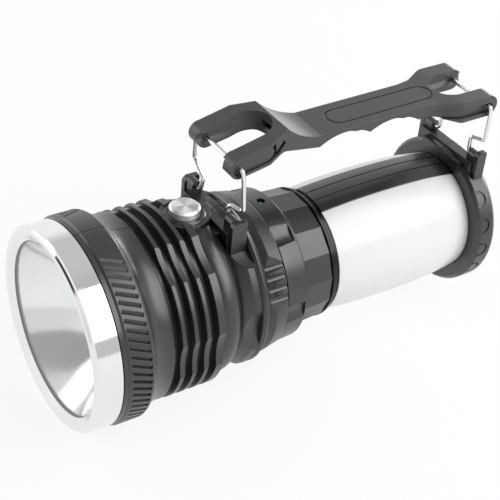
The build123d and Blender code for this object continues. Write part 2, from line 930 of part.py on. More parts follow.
def slot_shape(rod_station, depth, direction, half_width):
    """Plan of a fork slot, round at its closed end, long enough to leave the tips."""
    length = depth + nose_radius + tip_radius + half_width
    middle = rod_station + direction * (depth - length / 2)
    return Pos(middle, 0, 0) * SlotOverall(length, half_width * 2)


def fork_slot(rod, depth, direction, half_width):
    """Slot between two prongs with a groove round its walls, ramped underneath."""
    station, height = rod
    plain = slot_shape(station, depth, direction, half_width)
    wide = slot_shape(station, depth + slot_groove_depth, direction,
                      half_width + slot_groove_depth)
    tall = front_place(crest)[1] + overrun - front_pin_height
    cut = Pos(0, 0, front_pin_height) * extrude(plain, amount=tall)
    low = height - slot_groove_under
    groove = Pos(0, 0, low) * extrude(wide, amount=slot_groove_over + slot_groove_under)
    ramp = loft([Pos(0, 0, low - slot_groove_ramp) * plain, Pos(0, 0, low) * wide], ruled=True)
    return cut + groove + ramp


def recess_side(outline, depth):
    """Cutters that sink an outline in X and Z into both sides, along the plan's edge."""
    tall = extrude(Plane.XZ * outline, amount=handle_half_width + overrun, both=True)
    return tall - handle_plan(depth)


def side_recess():
    """Shallow panel on the outer face of each front prong, round about the rod."""
    radius = nose_radius - side_recess_rim
    nose = ThreePointArc(front_place((0, -radius)), front_place((-radius, 0)),
                         front_place((0, radius)))
    top = (taper_corner[0], taper_corner[1] - side_recess_rim)
    rest = Polyline(nose @ 1, front_place(top), front_place(side_recess_end),
                    front_place(side_recess_heel), front_place(side_recess_foot), nose @ 0)
    return recess_side(make_face([nose, rest]), side_recess_depth)


def rear_channel():
    """Long channel with a round front end on the outer face of each rear prong."""
    length = rear_channel_front + tip_radius / 2
    middle = (tip_radius / 2 - rear_channel_front) / 2
    outline = SlotOverall(length, rear_channel_height)
    station, height = rear_place((middle, -rear_channel_drop))
    return recess_side(Pos(station, height) * outline, rear_channel_depth)


def oval_line(body):
    """Shallow line of an oval that follows the handle's top face."""
    oval_length = rear_rod_station - front_rod_station - oval_front - oval_rear
    outer = SlotOverall(oval_length, oval_width)
    inner = SlotOverall(oval_length - oval_line_width * 2, oval_width - oval_line_width * 2)
    middle = front_rod_station + oval_front + oval_length / 2
    floor = waist_floor() + waist_thickness / 2
    ring = Pos(middle, 0, floor) * extrude(outer - inner, amount=waist_thickness * 2)
    return ring & (body - Pos(0, 0, -oval_line_depth) * body)


def keel():
    """Narrower bar under the waist, sloped at both ends."""
    top = front_place(waist_start)[1]
    roof = top - waist_thickness / 2 + finger_depth / 2
    floor = top - keel_thickness
    front = front_rod_station + keel_front
    rear = rear_rod_station - keel_rear
    bar = prism([
        (front - keel_slope / 2, roof),
        (rear + keel_slope / 2, roof),
        (rear + keel_slope / 2, waist_floor()),
        (rear - keel_slope / 2, floor),
        (front + keel_slope / 2, floor),
        (front - keel_slope / 2, waist_floor()),
    ], -keel_half_width, keel_half_width)
    for station in finger_stations():
        bar = bar - pin_y(finger_radius, station, floor + keel_hollow - finger_radius,
                          -handle_half_width, handle_half_width)
    return bar


def finger_stations():
    return [front_rod_station + finger_first + i * finger_pitch for i in range(finger_count)]


def handle():
    body = handle_side() & handle_plan(0)
    for station in finger_stations():
        body = body - pin_y(finger_radius, station, waist_floor() + finger_depth - finger_radius,
                            -handle_half_width, handle_half_width)
    body = body - oval_line(body) + (keel() & handle_plan(0))
    front = (front_rod_station, front_rod_height)
    rear = (rear_rod_station, rear_rod_height)
    body = body - fork_slot(front, fork_slot_depth, 1, fork_slot_half)
    body = body - fork_slot(rear, rear_slot_depth, -1, rear_slot_half)
    end = front_rod_station + fork_slot_depth
    body = body - block(end - slot_pocket_half, end + slot_pocket_depth,
                        -slot_pocket_half, slot_pocket_half,
                        front_rod_height + slot_pocket_low, front_rod_height + slot_pocket_high)
    pocket = make_face(Polyline(*[front_place(pair) for pair in taper_pocket], close=True))
    body = body - side_recess() - rear_channel() - recess_side(pocket, taper_pocket_depth)
    reach = handle_half_width + overrun
    for station, height in (front, rear):
        body = body - pin_y(rod_hole_radius, station, height, -reach, reach)
    return body


# Indicator ring, sleeve and flange behind the collar

def ring_radius_at(station):
    """Outer radius of the ring's rear band at a station."""
    start = ring_front + ring_step_station + ring_step_length
    share = (station - start) / (sleeve_front - ring_tail_length - start)
    return ring_band_front_radius + (ring_rear_radius - ring_band_front_radius) * share


def tooth_top():
    """Radius of the tops of the teeth."""
    return ring_band_radius - tooth_line_depth


def tooth_facet():
    """Cutter for the flat that the teeth stand on, with the teeth's own sector left out."""
    floor = ring_band_radius - tooth_facet_drop
    cut = block(ring_front - overrun, ring_front + ring_step_station,
                -ring_band_radius / 2, ring_band_radius / 2, floor, ring_band_radius + overrun)
    half_span = ring_band_radius * math.sin(math.radians(tooth_span_angle))
    keep = block(ring_front - overrun * 2, ring_front + ring_step_station + overrun,
                 -half_span, half_span, 0, ring_band_radius * 2)
    return cut - keep


def indicator_ring():
    step = ring_front + ring_step_station
    band_rear = sleeve_front - ring_tail_length
    ring = turned([
        (ring_front, rear_bore_radius),
        (ring_front, ring_front_radius),
        (ring_front + ring_lip_length, ring_band_radius),
        (step, ring_step_radius),
        (step, ring_step_radius - ring_step_depth),
        (step + ring_step_length, ring_step_radius - ring_step_depth),
        (step + ring_step_length, ring_band_front_radius),
        (band_rear - edge_break, ring_rear_radius),
        (band_rear, ring_rear_radius - edge_break),
        (band_rear, ring_tail_radius),
        (sleeve_front, ring_tail_radius),
        (sleeve_front, rear_bore_radius),
    ])
    scoop_start = ring_front + scoop_front
    scoop_floor = ring_radius_at(scoop_start) - scoop_depth
    scoop = Pos(0, 0, scoop_floor + scoop_radius) * rod(scoop_radius, scoop_start, scoop_length)
    line = Box(ring_step_station * 2, tooth_line_width, tooth_line_depth * 2)
    for side in (1, -1):
        ring = ring - around(side * tooth_facet_angle, tooth_facet())
        for angle in scoop_angles:
            ring = ring - around(side * angle, scoop)
        for i in range(tooth_groove_count - 1):
            angle = tooth_first_angle + (i + 1 / 2) * tooth_pitch_angle
            ring = ring - around(side * angle, Pos(ring_front, 0, tooth_top()) * line)
        for i in range(tooth_groove_count):
            angle = tooth_first_angle + i * tooth_pitch_angle
            height = ring_band_radius - tooth_groove_depth + tooth_groove_radius
            groove = Pos(0, 0, height) * rod(tooth_groove_radius, ring_front, ring_step_station)
            ring = ring - around(side * angle, groove)
    station = ring_front + indicator_station
    top = ring_radius_at(station) + overrun
    return ring - post_z(indicator_hole_radius, station, 0, top)


def indicator_led():
    station = ring_front + indicator_station
    surface = ring_radius_at(station)
    top = surface - indicator_sink - indicator_lens_radius
    body = post_z(indicator_hole_radius - seat_gap, station, rear_bore_radius, top)
    dome = Pos(station, 0, top) * Sphere(indicator_lens_radius)
    stem = post_z(indicator_lens_radius, station, rear_bore_radius, top)
    return body + dome + stem


def body_sleeve():
    front_radius = sleeve_radius + sleeve_front_rise
    start = Plane(origin=(sleeve_front, 0, 0), x_dir=(0, 1, 0), z_dir=(1, 0, 0))
    end = Plane(origin=(flange_front, 0, 0), x_dir=(0, 1, 0), z_dir=(1, 0, 0))
    turn = 180.0 / sleeve_sides
    front_face = start * Rot(0, 0, turn) * RegularPolygon(front_radius, sleeve_sides)
    back_face = end * Rot(0, 0, turn) * RegularPolygon(sleeve_radius, sleeve_sides)
    body = loft([front_face, back_face], ruled=True)
    return body - rod(rear_bore_radius, sleeve_front - overrun, sleeve_length + overrun * 2)


def flange_ring():
    lip_front = flange_front + flange_groove
    lip_rear = lip_front + flange_lip
    return turned([
        (flange_front, rear_bore_radius),
        (flange_front, flange_radius - flange_groove_depth),
        (lip_front, flange_radius - flange_groove_depth),
        (lip_front, flange_radius),
        (lip_rear, flange_radius),
        (lip_rear, flange_radius - flange_neck_drop),
        (lantern_front, flange_radius - flange_neck_drop),
        (lantern_front, rear_bore_radius),
    ])


# Side lantern

def lantern_line(offset):
    """Meridian of the diffuser, pushed out by an offset."""
    points = []
    for along, bulge in zip(lantern_station_shares, lantern_bulge_shares):
        base = lantern_end_radius + (lantern_rear_radius - lantern_end_radius) * along
        radius = base + (lantern_mid_radius - lantern_end_radius) * bulge + offset
        points.append((lantern_front + lantern_length * along, radius))
    return Spline(*points)


def lantern_shell(outer_offset, inner_offset):
    outer = lantern_line(outer_offset)
    inner = lantern_line(inner_offset)
    front = Line(inner @ 0, outer @ 0)
    back = Line(outer @ 1, inner @ 1)
    return turned_face(outer, back, inner, front)


def spine_band(half_width):
    """Block over the top of the lantern, as wide as the spine."""
    return block(lantern_front - overrun, tail_front + overrun, -half_width, half_width,
                 0, lantern_mid_radius * 2)


def lantern_diffuser():
    return lantern_shell(0, -lantern_wall) - spine_band(spine_half_width)


def lantern_spine():
    strip = lantern_shell(spine_proud, -lantern_wall) & spine_band(spine_half_width - seat_gap)
    layer = lantern_shell(spine_proud + overrun, spine_proud - spine_line_depth)
    for side in (1, -1):
        low, high = sorted((side * spine_line, side * (spine_line + spine_line_width)))
        line = block(lantern_front - overrun, tail_front + overrun, low, high,
                     0, lantern_mid_radius * 2)
        strip = strip - (layer & line)
    return strip


def lantern_core():
    plane = Plane(origin=(lantern_front, 0, 0), x_dir=(0, 1, 0), z_dir=(1, 0, 0))
    corner = core_apothem / math.cos(math.radians(180.0 / core_sides))
    inner = (core_apothem - core_wall) / math.cos(math.radians(180.0 / core_sides))
    outline = RegularPolygon(corner, core_sides) - RegularPolygon(inner, core_sides)
    tube = extrude(plane * outline, amount=core_back - lantern_front)
    front = rod(rear_bore_radius - seat_gap, lantern_front - core_flange_thickness,
                core_flange_thickness)
    back = rod(core_flange_radius, core_back, core_flange_thickness)
    hole = rod(inner - core_wall, lantern_front - overrun * 2,
               lantern_length + tail_length)
    return tube + front + back - hole


def side_board_angles():
    step = 360.0 / core_sides
    return [step * (i + 1) for i in range(side_board_count)]


def side_led_boards():
    length = side_led_pitch * side_led_count
    start = lantern_front + (lantern_length - length) / 2
    board = block(start, start + length, -side_board_width / 2, side_board_width / 2,
                  core_apothem, core_apothem + board_thickness)
    return Compound(children=[around(angle, board) for angle in side_board_angles()])


def side_leds():
    start = lantern_front + (lantern_length - side_led_pitch * (side_led_count - 1)) / 2
    base = core_apothem + board_thickness
    half_size = side_led_size / 2
    lamps = []
    for angle in side_board_angles():
        for i in range(side_led_count):
            station = start + i * side_led_pitch
            lamp = block(station - half_size, station + half_size, -half_size, half_size,
                         base, base + side_led_height)
            lamps.append(around(angle, lamp))
    return Compound(children=lamps)


# Tail cap: two halves with the rear ears, closed by an end plate

def tail_skin():
    band_rear = tail_front + tail_band_rear
    dome = ThreePointArc((band_rear, tail_radius),
                         (tail_front + tail_shoulder_rear, tail_radius - tail_shoulder_drop),
                         (overall_length, tail_end_radius))
    rest = Polyline((overall_length, tail_end_radius), (overall_length, 0), (tail_front, 0),
                    (tail_front, tail_radius - tail_face_chamfer),
                    (tail_front + tail_face_chamfer, tail_radius), (band_rear, tail_radius))
    return turned_face(dome, rest)


def tail_cavity():
    inner = tail_radius - tail_wall
    return turned([
        (core_back, 0),
        (core_back, inner),
        (tail_front + tail_band_rear - tail_wall, inner),
        (end_wall_front, tail_end_radius),
        (end_wall_front, 0),
    ])


def tail_notch(angle):
    """Outline groove of one arch on the cap's side band, open at its front."""
    radius = notch_width / 2
    depth = notch_depth * 2
    length = notch_length - radius
    front = tail_front + tail_face_chamfer
    outer = Box(length, notch_width, depth, align=(Align.MIN, Align.CENTER, Align.CENTER))
    outer = outer + Pos(length, 0, 0) * Cylinder(radius, depth)
    inner_radius = radius - notch_depth * 2
    inner = Box(length + overrun, inner_radius * 2, depth * 2,
                align=(Align.MIN, Align.CENTER, Align.CENTER))
    inner = Pos(-overrun, 0, 0) * inner + Pos(length, 0, 0) * Cylinder(inner_radius, depth * 2)
    return around(angle, Pos(front, 0, tail_radius) * (outer - inner))


def tail_screw_spots():
    spots = []
    for i in range(tail_screw_count):
        angle = math.radians(360.0 / tail_screw_count * (i + 0.5))
        spots.append((tail_screw_circle * math.sin(angle), tail_screw_circle * math.cos(angle)))
    return spots


def tail_cap():
    skin = tail_skin()
    solid = skin + saddle(rear_pin_station, rear_pin_height, rear_saddle_rear,
                          rear_saddle_top)
    for side in (1, -1):
        solid = solid + ear(side, rear_pin_station, rear_pin_height,
                            rear_ear_front, rear_ear_rear, rear_ear_top)
    room = rod(tail_front_bore, tail_front - overrun * 4, overrun * 4 + tail_wall + seat_gap)
    shell = solid - tail_cavity() - room
    shell = shell - rod(lantern_mid_radius + edge_break, tail_front - tail_length, tail_length)
    for y, z in tail_screw_spots():
        boss = Pos(0, y, z) * rod(screw_boss_radius, core_back + core_flange_thickness,
                                  end_wall_front - core_back - core_flange_thickness + wall)
        shell = shell + boss
    shell = shell - rod(end_plate_radius + seat_gap, end_plate_front, overrun * 2)
    shell = shell - rod(end_wall_bore, end_wall_front - overrun, tail_wall + overrun * 2)
    for y, z in tail_screw_spots():
        bore = rod(screw_shank_radius + seat_gap, end_plate_front - tail_screw_length,
                   tail_screw_length + overrun)
        shell = shell - Pos(0, y, z) * bore
    shell = shell - pivot_holes(rear_pin_station, rear_pin_height)
    for i in range(notch_count):
        angle = notch_first_angle + i * notch_pitch_angle
        shell = shell - tail_notch(angle) - tail_notch(-angle)
    return shell


def end_plate():
    plate = rod(end_plate_radius, end_plate_front, end_plate_thickness)
    plate = plate - rod(inlet_radius + seat_gap, end_plate_front - overrun,
                        end_plate_thickness + overrun * 2)
    sink = end_plate_back - screw_head_height
    for y, z in tail_screw_spots():
        hole = rod(screw_shank_radius + seat_gap, end_plate_front - overrun,
                   end_plate_thickness + overrun)
        head = rod(screw_head_radius + seat_gap, sink, overrun)
        plate = plate - Pos(0, y, z) * (hole + head)
    return plate


def tail_screws():
    sink = end_plate_back - screw_head_height
    upright = Rot(0, 0, -90) * screw(tail_screw_length)
    return Compound(children=[Pos(sink, y, z) * upright for y, z in tail_screw_spots()])


def charge_inlet():
    front = end_plate_back - inlet_length
    body = rod(inlet_radius, front, inlet_length)
    flange = rod(inlet_flange_radius, end_plate_front - inlet_flange_thickness,
                 inlet_flange_thickness)
    bore = rod(inlet_bore_radius, end_plate_back - inlet_bore_depth, inlet_bore_depth + overrun)
    pin = rod(inlet_pin_radius, front, inlet_length - edge_break)
    return body + flange - bore + pin


# Batteries, their holder and the control board

def cell_spots():
    return [(y, z) for y in (-cell_offset, cell_offset) for z in (-cell_offset, cell_offset)]


def battery_cells():
    cell = rod(cell_radius, cells_front, cell_length)
    tip = rod(cell_tip_radius, cells_front + cell_length, cell_tip_height)
    return Compound(children=[Pos(0, y, z) * (cell + tip) for y, z in cell_spots()])


def battery_holder():
    radius = rear_bore_radius - seat_gap
    reach = cell_offset + cell_radius
    front = rod(cell_offset * math.sqrt(2) + cell_radius + holder_rim, holder_front, holder_plate)
    back = rod(radius, holder_back - holder_plate, holder_plate)
    post = block(holder_front, holder_back, -holder_post, holder_post, -reach, reach)
    cross = around(90, post)
    frame = front + back + post + cross
    for y, z in cell_spots():
        frame = frame - Pos(0, y, z) * rod(cell_radius + seat_gap, cells_front,
                                           cells_back - cells_front)
    return frame


def control_board():
    board = rod(board_radius, holder_back, board_thickness)
    face = holder_back + board_thickness
    chips = None
    for i, turn in enumerate(chip_angles):
        chip = block(face, face + chip_height * (1 + i % 2), -chip_length / 2, chip_length / 2,
                     board_radius / 2, board_radius / 2 + chip_width)
        chip = around(turn, chip)
        chips = chip if chips is None else chips + chip
    return board + chips


def main():
    shell = housing()
    cap = tail_cap()
    save(bezel_ring(), "bezel_ring")
    save(front_lens(), "front_lens")
    save(lens_gasket(), "lens_gasket")
    save(reflector(), "reflector")
    save(led_emitter(), "led_emitter")
    save(led_board(), "led_board")
    save(heat_sink(), "heat_sink")
    save(half(shell, 1), "housing_left")
    save(half(shell, -1), "housing_right")
    save(housing_screws(), "housing_screws")
    save(button_cap(), "button_cap")
    save(button_ring(), "button_ring")
    save(button_switch(), "button_switch")
    save(switch_board(), "switch_board")
    save(bail(front_pin_station, front_pin_height, front_leg_bends), "front_bail")
    save(bail(rear_pin_station, rear_pin_height, rear_leg_bends), "rear_bail")
    save(handle(), "carry_handle")
    save(indicator_ring(), "indicator_ring")
    save(indicator_led(), "indicator_led")
    save(body_sleeve(), "body_sleeve")
    save(flange_ring(), "flange_ring")
    save(lantern_diffuser(), "lantern_diffuser")
    save(lantern_spine(), "lantern_spine")
    save(lantern_core(), "lantern_core")
    save(side_led_boards(), "side_led_boards")
    save(side_leds(), "side_leds")
    save(half(cap, 1), "tail_cap_left")
    save(half(cap, -1), "tail_cap_right")
    save(end_plate(), "end_plate")
    save(tail_screws(), "tail_screws")
    save(charge_inlet(), "charge_inlet")
    save(battery_cells(), "battery_cells")
    save(battery_holder(), "battery_holder")
    save(control_board(), "control_board")


main()
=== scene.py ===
import math

import bpy
from mathutils import Matrix, Vector


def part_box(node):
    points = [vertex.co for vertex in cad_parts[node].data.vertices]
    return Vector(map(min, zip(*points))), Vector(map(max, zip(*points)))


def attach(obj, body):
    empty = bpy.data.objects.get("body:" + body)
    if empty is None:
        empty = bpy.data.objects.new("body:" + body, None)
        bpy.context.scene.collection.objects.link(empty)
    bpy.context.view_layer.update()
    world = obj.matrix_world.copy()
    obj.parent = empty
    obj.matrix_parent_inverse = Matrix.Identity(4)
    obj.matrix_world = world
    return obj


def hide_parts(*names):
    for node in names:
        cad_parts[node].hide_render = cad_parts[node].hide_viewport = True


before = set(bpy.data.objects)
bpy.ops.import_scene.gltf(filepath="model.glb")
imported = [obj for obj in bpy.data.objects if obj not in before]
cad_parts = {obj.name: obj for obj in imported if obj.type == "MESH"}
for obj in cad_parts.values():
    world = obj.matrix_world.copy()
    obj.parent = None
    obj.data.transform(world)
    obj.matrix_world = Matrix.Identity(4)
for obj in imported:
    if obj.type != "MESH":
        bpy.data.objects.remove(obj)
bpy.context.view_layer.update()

bl_info = {
    "name": "Hand-held searchlight",
    "version": (1, 0, 0),
    "blender": (4, 5, 0),
    "location": "View3D > Sidebar > Searchlight",
    "description": "Dresses the packed searchlight with detailed pieces and finishes",
    "category": "Object",
}

MM = 0.001


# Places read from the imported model

def node_box(name):
    """Lowest and highest corner of a CAD node, in metres."""
    low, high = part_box(name)
    return Vector(low), Vector(high)


def axis_height():
    """Height of the optical axis, from the bezel's box."""
    low, high = node_box("bezel_ring")
    return (low.z + high.z) / 2


AXIS_Z = axis_height()
FRONT_X = node_box("bezel_ring")[0].x


def at_station(station, y, z):
    """Point given in millimetres: behind the bezel's front, then sideways and up off the axis."""
    return Vector((FRONT_X + station * MM, y * MM, AXIS_Z + z * MM))


# Sizes and places that the code below shares

# Cross-drive screws
HEAD_RADIUS = 2.6 * MM
HEAD_HEIGHT = 1.2 * MM
SHANK_RADIUS = 1.3 * MM
CROSS_LENGTH = 3.2 * MM
CROSS_WIDTH = 0.7 * MM
CUTTER_HEIGHT = 1.2 * MM
CUTTER_MIDDLE = 1.1 * MM
SIDE_SCREW_LENGTH = 12.0 * MM
END_SCREW_LENGTH = 6.0 * MM
SIDE_SCREW_SEAT = 8.0                  # millimetres out on the +Y side
SIDE_SCREWS = ((36.0, 33.0), (36.0, -33.0), (94.0, 27.0), (94.0, -27.0))   # station, height

# Side lamps
LAMP_ROWS = 5
LAMPS_IN_ROW = 8
ROW_TURN = 60.0                        # degrees from row to row
LAMP_SIDE = 3.4 * MM
LAMP_HEIGHT = 0.8 * MM
WINDOW_RADIUS = 1.3 * MM
WINDOW_HEIGHT = 0.1 * MM
LAMP_OFF_AXIS = 26.05 * MM

# Bails, in millimetres from a wire's pivot; the near side is -Y
PIN_END = 20.4                         # free end of each pivot
NEAR_PIN_END = 14.0                    # where the near leg leaves its pivot
FAR_PIN_END = 12.4
ROD_HALF = 22.1                        # half the rod's length
ROD_BEHIND = 1.4
ROD_ABOVE = 31.2
FAR_BENDS = ((1.2, ROD_HALF, 13.8), (1.3, FAR_PIN_END, 6.4))       # along, out, up
BAILS = {                              # station and height of the pivot, near leg's bends
    "front": (91.4, 50.0, ((0.6, 7.2), (4.0, 6.4), (2.7, 24.0))),
    "rear": (248.6, 46.1, ((-0.4, 9.4), (2.3, 10.4), (2.0, 27.0))),
}

# Stage
SENSOR_WIDTH = 36.0
FLOOR_REACH = 6.0
FLOOR_UNDER = 0.3 * MM                 # below the object, so that no faces coincide
FLOOR_GLOW = 0.88                      # share of plain white that the eye and mirrors see
WORLD_FILL = 0.56                      # light on the object
STAGE_MIDDLE = Vector((0.0, 0.0, 0.06))
SOFTBOXES = (                          # name, direction, distance, size, setting with its power
    ("key softbox", (0.42, -0.60, 0.67), 1.2, (1.1, 1.08), "key_power"),
    ("far fill", (-0.45, 0.80, 0.30), 1.4, (1.2, 0.8), "fill_power"),
    ("edge softbox", (0.90, 0.36, 0.09), 1.2, (0.8, 0.36), "edge_power"),
)


# Settings

def colour(name, description, default):
    return bpy.props.FloatVectorProperty(
        name=name, description=description, default=default, size=3, min=0.0, max=1.0,
        subtype="COLOR")


def length(name, description, default):
    return bpy.props.FloatProperty(
        name=name, description=description, default=default, min=0.0, unit="LENGTH",
        subtype="DISTANCE", precision=5)


def share(name, description, default):
    return bpy.props.FloatProperty(
        name=name, description=description, default=default, min=0.0, max=1.0,
        subtype="FACTOR")


def angle(name, description, default):
    return bpy.props.FloatProperty(
        name=name, description=description, default=math.radians(default), subtype="ANGLE")


def framing(name, description, default):
    return bpy.props.FloatProperty(name=name, description=description, default=default)


def power(name, default):
    return bpy.props.FloatProperty(
        name=name, description="Power in watts", default=default, min=0.0)


class BodySettings(bpy.types.PropertyGroup):
    shell_colour: colour("Shell colour", "Moulded body plastic", (0.008, 0.008, 0.0083))
    shell_roughness: share("Shell roughness", "Roughness of the moulded body", 0.33)
    handle_colour: colour("Handle colour", "Moulded handle plastic", (0.018, 0.018, 0.019))
    handle_roughness: share("Handle roughness", "Roughness of the handle", 0.42)
    grain: length("Grain", "Size of the moulding grain", 0.0005)
    edge_radius: length("Edge radius", "Rounding seen on moulded edges", 0.0004)
    seam_width: length("Seam width", "Parting line between the two halves", 0.00042)


class MetalSettings(bpy.types.PropertyGroup):
    chrome_colour: colour("Chrome colour", "Bezel plating", (0.83, 0.835, 0.84))
    chrome_roughness: share("Chrome roughness", "Roughness of the plating", 0.07)
    wire_colour: colour("Wire colour", "Steel of the bails", (0.88, 0.88, 0.87))
    wire_roughness: share("Wire roughness", "Roughness of the wire", 0.20)
    wire_radius: length("Wire radius", "Half the wire's thickness", 0.0012)
    wire_bend: length("Wire bend", "Radius of the wire's bends", 0.0019)
    button_colour: colour("Button colour", "Turned metal of the push button",
                          (0.95, 0.95, 0.96))
    button_roughness: share("Button roughness", "Roughness of the turned metal", 0.26)


class LightSettings(bpy.types.PropertyGroup):
    reflector_colour: colour("Reflector colour", "Coating of the bowl", (0.93, 0.935, 0.94))
    reflector_roughness: share("Reflector roughness", "Roughness of the bowl", 0.15)
    diffuser_colour: colour("Diffuser colour", "White plastic of the side lantern",
                            (0.735, 0.735, 0.735))
    indicator_colour: colour("Indicator colour", "Green indicator lens", (0.03, 0.30, 0.17))


class StageSettings(bpy.types.PropertyGroup):
    distance: length("Camera distance", "From the camera to the aim point", 0.700)
    aim_station: length("Aim station", "Aim point behind the bezel's front", 0.110)
    azimuth: angle("Azimuth", "Camera's turn about the vertical", -34.85)
    elevation: angle("Elevation", "Camera's height over the horizon", 37.38)
    roll: angle("Roll", "Camera's turn about its own axis", 5.13)
    focal: bpy.props.FloatProperty(name="Focal length", description="Lens, in millimetres",
                                   default=94.46, min=1.0, subtype="DISTANCE_CAMERA")
    shift_x: framing("Shift X", "Framing, sideways", 0.026)
    shift_y: framing("Shift Y", "Framing, upwards", 0.0412)
    floor_colour: colour("Floor colour", "Plain pale floor", (0.86, 0.86, 0.86))
    key_power: power("Key light", 12.5)
    fill_power: power("Far fill", 4.0)
    edge_power: power("Edge light", 5.5)


# Node helpers

WHITE = (1.0, 1.0, 1.0, 1.0)
MIX_FACTOR, MIX_FIRST, MIX_SECOND, MIX_RESULT = 0, 6, 7, 2      # sockets of a colour mix


def is_socket(value):
    return isinstance(value, bpy.types.NodeSocket)


def feed(tree, socket, value):
    """Link a socket to another one, or set its value."""
    if is_socket(value):
        tree.links.new(value, socket)
    else:
        socket.default_value = value


def new_node(tree, kind, inputs=(), **values):
    """Add a node; inputs maps a socket's name or number to a value or a socket."""
    node = tree.nodes.new(kind)
    for key, value in values.items():
        setattr(node, key, value)
    for key, value in dict(inputs).items():
        feed(tree, node.inputs[key], value)
    return node


def maths(tree, operation, *inputs):
    node = new_node(tree, "ShaderNodeMath", enumerate(inputs), operation=operation)
    return node.outputs[0]


def ramp(tree, factor, span, low, high, blend="LINEAR"):
    """Spread a factor's span over the values from low to high."""
    node = new_node(tree, "ShaderNodeMapRange",
                    {"Value": factor, "From Min": span[0], "From Max": span[1],
                     "To Min": low, "To Max": high}, interpolation_type=blend)
    return node.outputs["Result"]


def darker(tint, part):
    return tuple(value * part for value in tint)


# Finishes

SHADER_INPUTS = {
    "colour": "Base Color", "metal": "Metallic", "rough": "Roughness", "ior": "IOR",
    "specular": "Specular IOR Level", "coat": "Coat Weight", "coat_rough": "Coat Roughness",
    "clear": "Transmission Weight", "anisotropic": "Anisotropic", "tangent": "Tangent",
    "subsurface": "Subsurface Weight", "subsurface_radius": "Subsurface Radius",
    "subsurface_scale": "Subsurface Scale", "normal": "Normal",
}
NOISE_SPAN = (0.3, 0.7)     # most of a noise texture lies between these
OPEN_SPAN = (0.35, 0.85)    # occlusion in a groove, and where a surface counts as open


class Shader:
    """Builds one material's node tree."""

    def __init__(self, name):
        self.material = bpy.data.materials.new(name)
        self.material.use_nodes = True
        self.tree = self.material.node_tree
        self.bsdf = self.tree.nodes["Principled BSDF"]

    def add(self, kind, inputs=(), **values):
        return new_node(self.tree, kind, inputs, **values)

    def set(self, **values):
        """Give the shader's inputs numbers, colours or sockets that feed them."""
        for key, value in values.items():
            if key == "colour" and not is_socket(value):
                value = (*value, 1.0)
            feed(self.tree, self.bsdf.inputs[SHADER_INPUTS[key]], value)

    def coords(self, scale=(1.0, 1.0, 1.0), offset=(0.0, 0.0, 0.0)):
        """Object coordinates in metres, stretched and shifted."""
        place = self.add("ShaderNodeTexCoord")
        mapping = self.add("ShaderNodeMapping", {"Vector": place.outputs["Object"],
                                                 "Scale": scale, "Location": offset})
        return mapping.outputs["Vector"]

    def noise(self, vector, scale, detail):
        node = self.add("ShaderNodeTexNoise",
                        {"Vector": vector, "Scale": scale, "Detail": detail})
        return node.outputs["Fac"]

    def ramp(self, factor, span, low, high):
        return ramp(self.tree, factor, span, low, high)

    def vary(self, noise, low, high):
        """Spread a noise over the values from low to high."""
        return self.ramp(noise, NOISE_SPAN, low, high)

    def mix_colour(self, factor, first, second):
        colours = [value if is_socket(value) else (*value, 1.0) for value in (first, second)]
        node = self.add("ShaderNodeMix", {MIX_FACTOR: factor, MIX_FIRST: colours[0],
                                          MIX_SECOND: colours[1]}, data_type="RGBA")
        return node.outputs[MIX_RESULT]

    def bump(self, height, distance, strength, normal=None):
        inputs = {"Height": height, "Distance": distance, "Strength": strength}
        if normal is not None:
            inputs["Normal"] = normal
        return self.add("ShaderNodeBump", inputs).outputs["Normal"]

    def off_middle(self, place, width):
        """0 on the middle plane, 1 beyond half the given width on either side."""
        apart = self.add("ShaderNodeSeparateXYZ", {0: place})
        away = maths(self.tree, "ABSOLUTE", apart.outputs["Y"])
        return self.ramp(away, (width * 0.25, width * 0.5), 0.0, 1.0)

    def shade_mask(self, reach):
        """Mask for painted shade: 0 deep in a groove or corner, 1 where the surface is open
        within the reach.
        """
        node = self.add("ShaderNodeAmbientOcclusion", {"Distance": reach}, samples=6)
        return self.ramp(node.outputs["AO"], OPEN_SPAN, 0.0, 1.0)

    def rounded(self, radius):
        """Normals that soften every edge by a radius."""
        return self.add("ShaderNodeBevel", {"Radius": radius}, samples=4).outputs["Normal"]


def moulded(name, tint, roughness, grain, edge, seam=0.0, gloss=0.9):
    """Moulded plastic: fine spark-eroded grain, faint flow marks, softened edges.

    Grooves and corners get painted shade: a darker colour and less shine there.
    With a seam, a parting line of that width runs along the middle plane.
    """
    shader = Shader(name)
    shader.set(colour=tint, rough=roughness, specular=gloss)
    place = shader.coords()
    fine = shader.noise(place, scale=1.0 / grain, detail=3.0)
    flow = shader.noise(place, scale=45.0, detail=2.0)
    # Mask for painted shade in grooves and corners
    unshaded_share = shader.shade_mask(reach=2.2 * MM)
    pale = tuple(min(1.0, value * 1.35 + 0.002) for value in tint)
    # Painted shade: the colour falls to a quarter of the tint in grooves and corners
    shade = shader.mix_colour(unshaded_share, darker(tint, 0.25),
                              shader.mix_colour(flow, tint, pale))
    # Painted shade: the shine falls to a quarter in grooves and corners
    shine = shader.ramp(unshaded_share, (0.0, 1.0), gloss * 0.25, gloss)
    normal = shader.rounded(edge)
    if seam:
        off_seam = shader.off_middle(place, seam)
        seam_colour = (0.0005, 0.0005, 0.0005)
        shade = shader.mix_colour(off_seam, seam_colour, shade)
        shine = maths(shader.tree, "MULTIPLY", shine, off_seam)
        normal = shader.bump(off_seam, distance=seam, strength=1.0, normal=normal)
    shader.set(colour=shade, specular=shine,
               rough=shader.vary(flow, roughness - 0.05, roughness + 0.05),
               normal=shader.bump(fine, distance=0.02 * MM, strength=0.5, normal=normal))
    return shader.material


def plated(name, tint, roughness):
    """Bright plating over moulded plastic, faintly wavy."""
    shader = Shader(name)
    shader.set(colour=tint, metal=1.0, rough=roughness)
    place = shader.coords()
    wave = shader.noise(place, scale=60.0, detail=1.0)
    smear = shader.noise(place, scale=300.0, detail=3.0)
    shader.set(rough=shader.vary(smear, roughness * 0.7, roughness * 1.5),
               normal=shader.bump(wave, distance=0.03 * MM, strength=0.4))
    return shader.material


